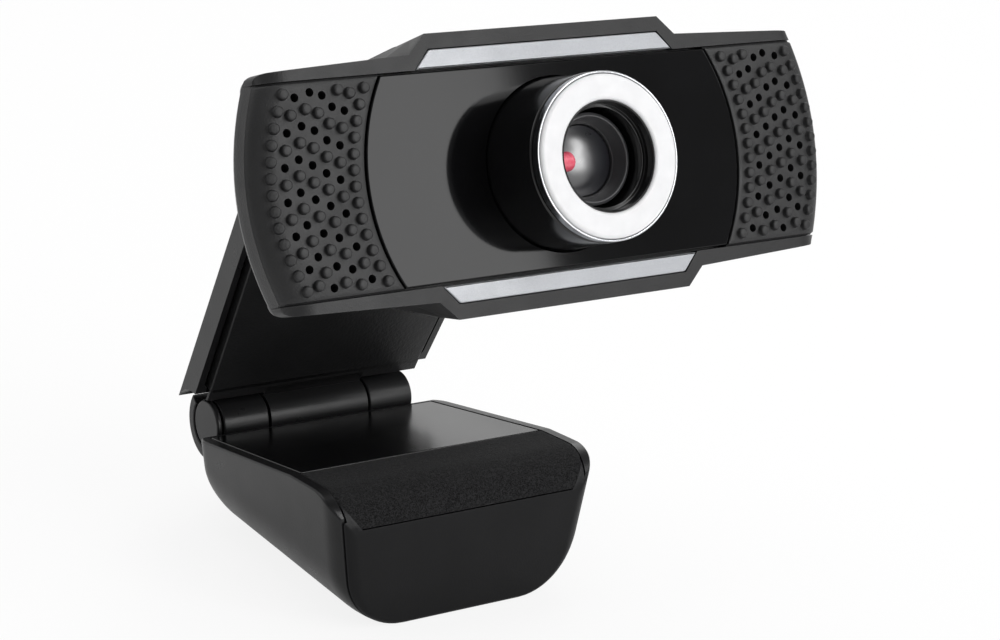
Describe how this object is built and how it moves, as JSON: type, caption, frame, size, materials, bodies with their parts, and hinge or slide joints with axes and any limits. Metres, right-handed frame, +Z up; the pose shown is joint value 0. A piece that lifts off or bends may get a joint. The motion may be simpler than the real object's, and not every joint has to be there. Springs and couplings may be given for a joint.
{
  "type": "webcam",
  "caption": "Clip-on webcam: wide grilled head with a focus ring, on a swivel-and-tilt neck, a leaning clip arm and a folding foot.",
  "frame": {"origin": "on the ground under the middle of the whole webcam's box, with the foot standing flat", "axes": "+X to the right as seen from in front of the lens, +Y backwards, away from the subject, +Z up"},
  "size_m": [0.097, 0.085, 0.0945],
  "materials": {
    "matt_black_plastic": "fine matt texture",
    "satin_black_plastic": "satin",
    "gloss_black_plastic": "piano gloss",
    "silver_trim": "satin silver paint",
    "silver_ring": "satin silver paint, bright edge",
    "felt": "short black felt",
    "rubber": "matt",
    "steel": "plain",
    "brass": "turned",
    "lens_glass": "coated",
    "red_lens": "tinted, clear",
    "circuit_board": "solder resist",
    "sensor_black": "moulded chip package",
    "connector_white": "plain"
  },
  "bodies": {
    "foot": {"foot_shell": "satin_black_plastic", "foot_top_panel": "gloss_black_plastic", "foot_nose_cover": "matt_black_plastic", "foot_pad": "felt", "tripod_insert": "brass", "hinge_pin": "steel", "hinge_pin_cap": "satin_black_plastic", "foot_screw_1": "steel", "foot_screw_2": "steel", "foot_screw_3": "steel", "foot_screw_4": "steel"},
    "arm": {"arm_back_cover": "satin_black_plastic", "arm_front_plate": "matt_black_plastic", "tilt_pin": "steel", "arm_screw_1": "steel", "arm_screw_2": "steel", "arm_screw_3": "steel", "arm_screw_4": "steel"},
    "neck": {"neck_link": "matt_black_plastic", "swivel_washer_top": "steel", "swivel_washer_bottom": "steel"},
    "head": {"front_bezel": "matt_black_plastic", "center_panel": "gloss_black_plastic", "grille_left": "matt_black_plastic", "grille_right": "matt_black_plastic", "trim_strip_top": "silver_trim", "trim_strip_bottom": "silver_trim", "lens_barrel": "satin_black_plastic", "lens_holder": "satin_black_plastic", "image_sensor": "sensor_black", "main_board": "circuit_board", "cable_connector": "connector_white", "microphone_left": "steel", "microphone_right": "steel", "rear_housing": "matt_black_plastic", "cable_grommet": "rubber", "swivel_bracket": "matt_black_plastic", "swivel_pin": "steel", "board_screw_1": "steel", "board_screw_2": "steel", "board_screw_3": "steel", "board_screw_4": "steel", "housing_screw_1": "steel", "housing_screw_2": "steel", "housing_screw_3": "steel", "housing_screw_4": "steel", "bracket_screw_1": "steel", "bracket_screw_2": "steel"},
    "ring": {"focus_ring": "silver_ring"},
    "lens": {"lens_cell": "satin_black_plastic", "lens_front_glass": "lens_glass", "lens_rear_glass": "lens_glass", "activity_led": "red_lens"}
  },
  "joints": [
    {"name": "clip_hinge", "type": "hinge", "parent": "foot", "child": "arm", "pos_m": [0, 0.0368, 0.0151], "axis": [1, 0, 0], "range_deg": [-60, 18]},
    {"name": "head_tilt", "type": "hinge", "parent": "arm", "child": "neck", "pos_m": [0, 0.01481, 0.06672], "axis": [1, 0, 0], "range_deg": [-30, 20]},
    {"name": "head_pan", "type": "hinge", "parent": "neck", "child": "head", "pos_m": [0, 0.00401, 0.07096], "axis": [0, 0.3649, 0.9311], "range_deg": [-30, 30]},
    {"name": "focus_turn", "type": "hinge", "parent": "head", "child": "ring", "pos_m": [0, -0.0384, 0.08059], "axis": [0, 0.9311, -0.3649], "range_deg": [-90, 90]},
    {"name": "lens_travel", "type": "slide", "parent": "head", "child": "lens", "axis": [0, 0.9311, -0.3649], "range_m": [-0.00098, 0.00098]}
  ],
  "couplings": [
    {"joint": "focus_turn", "follows": "lens_travel", "rad_per_m": 1600}
  ]
}
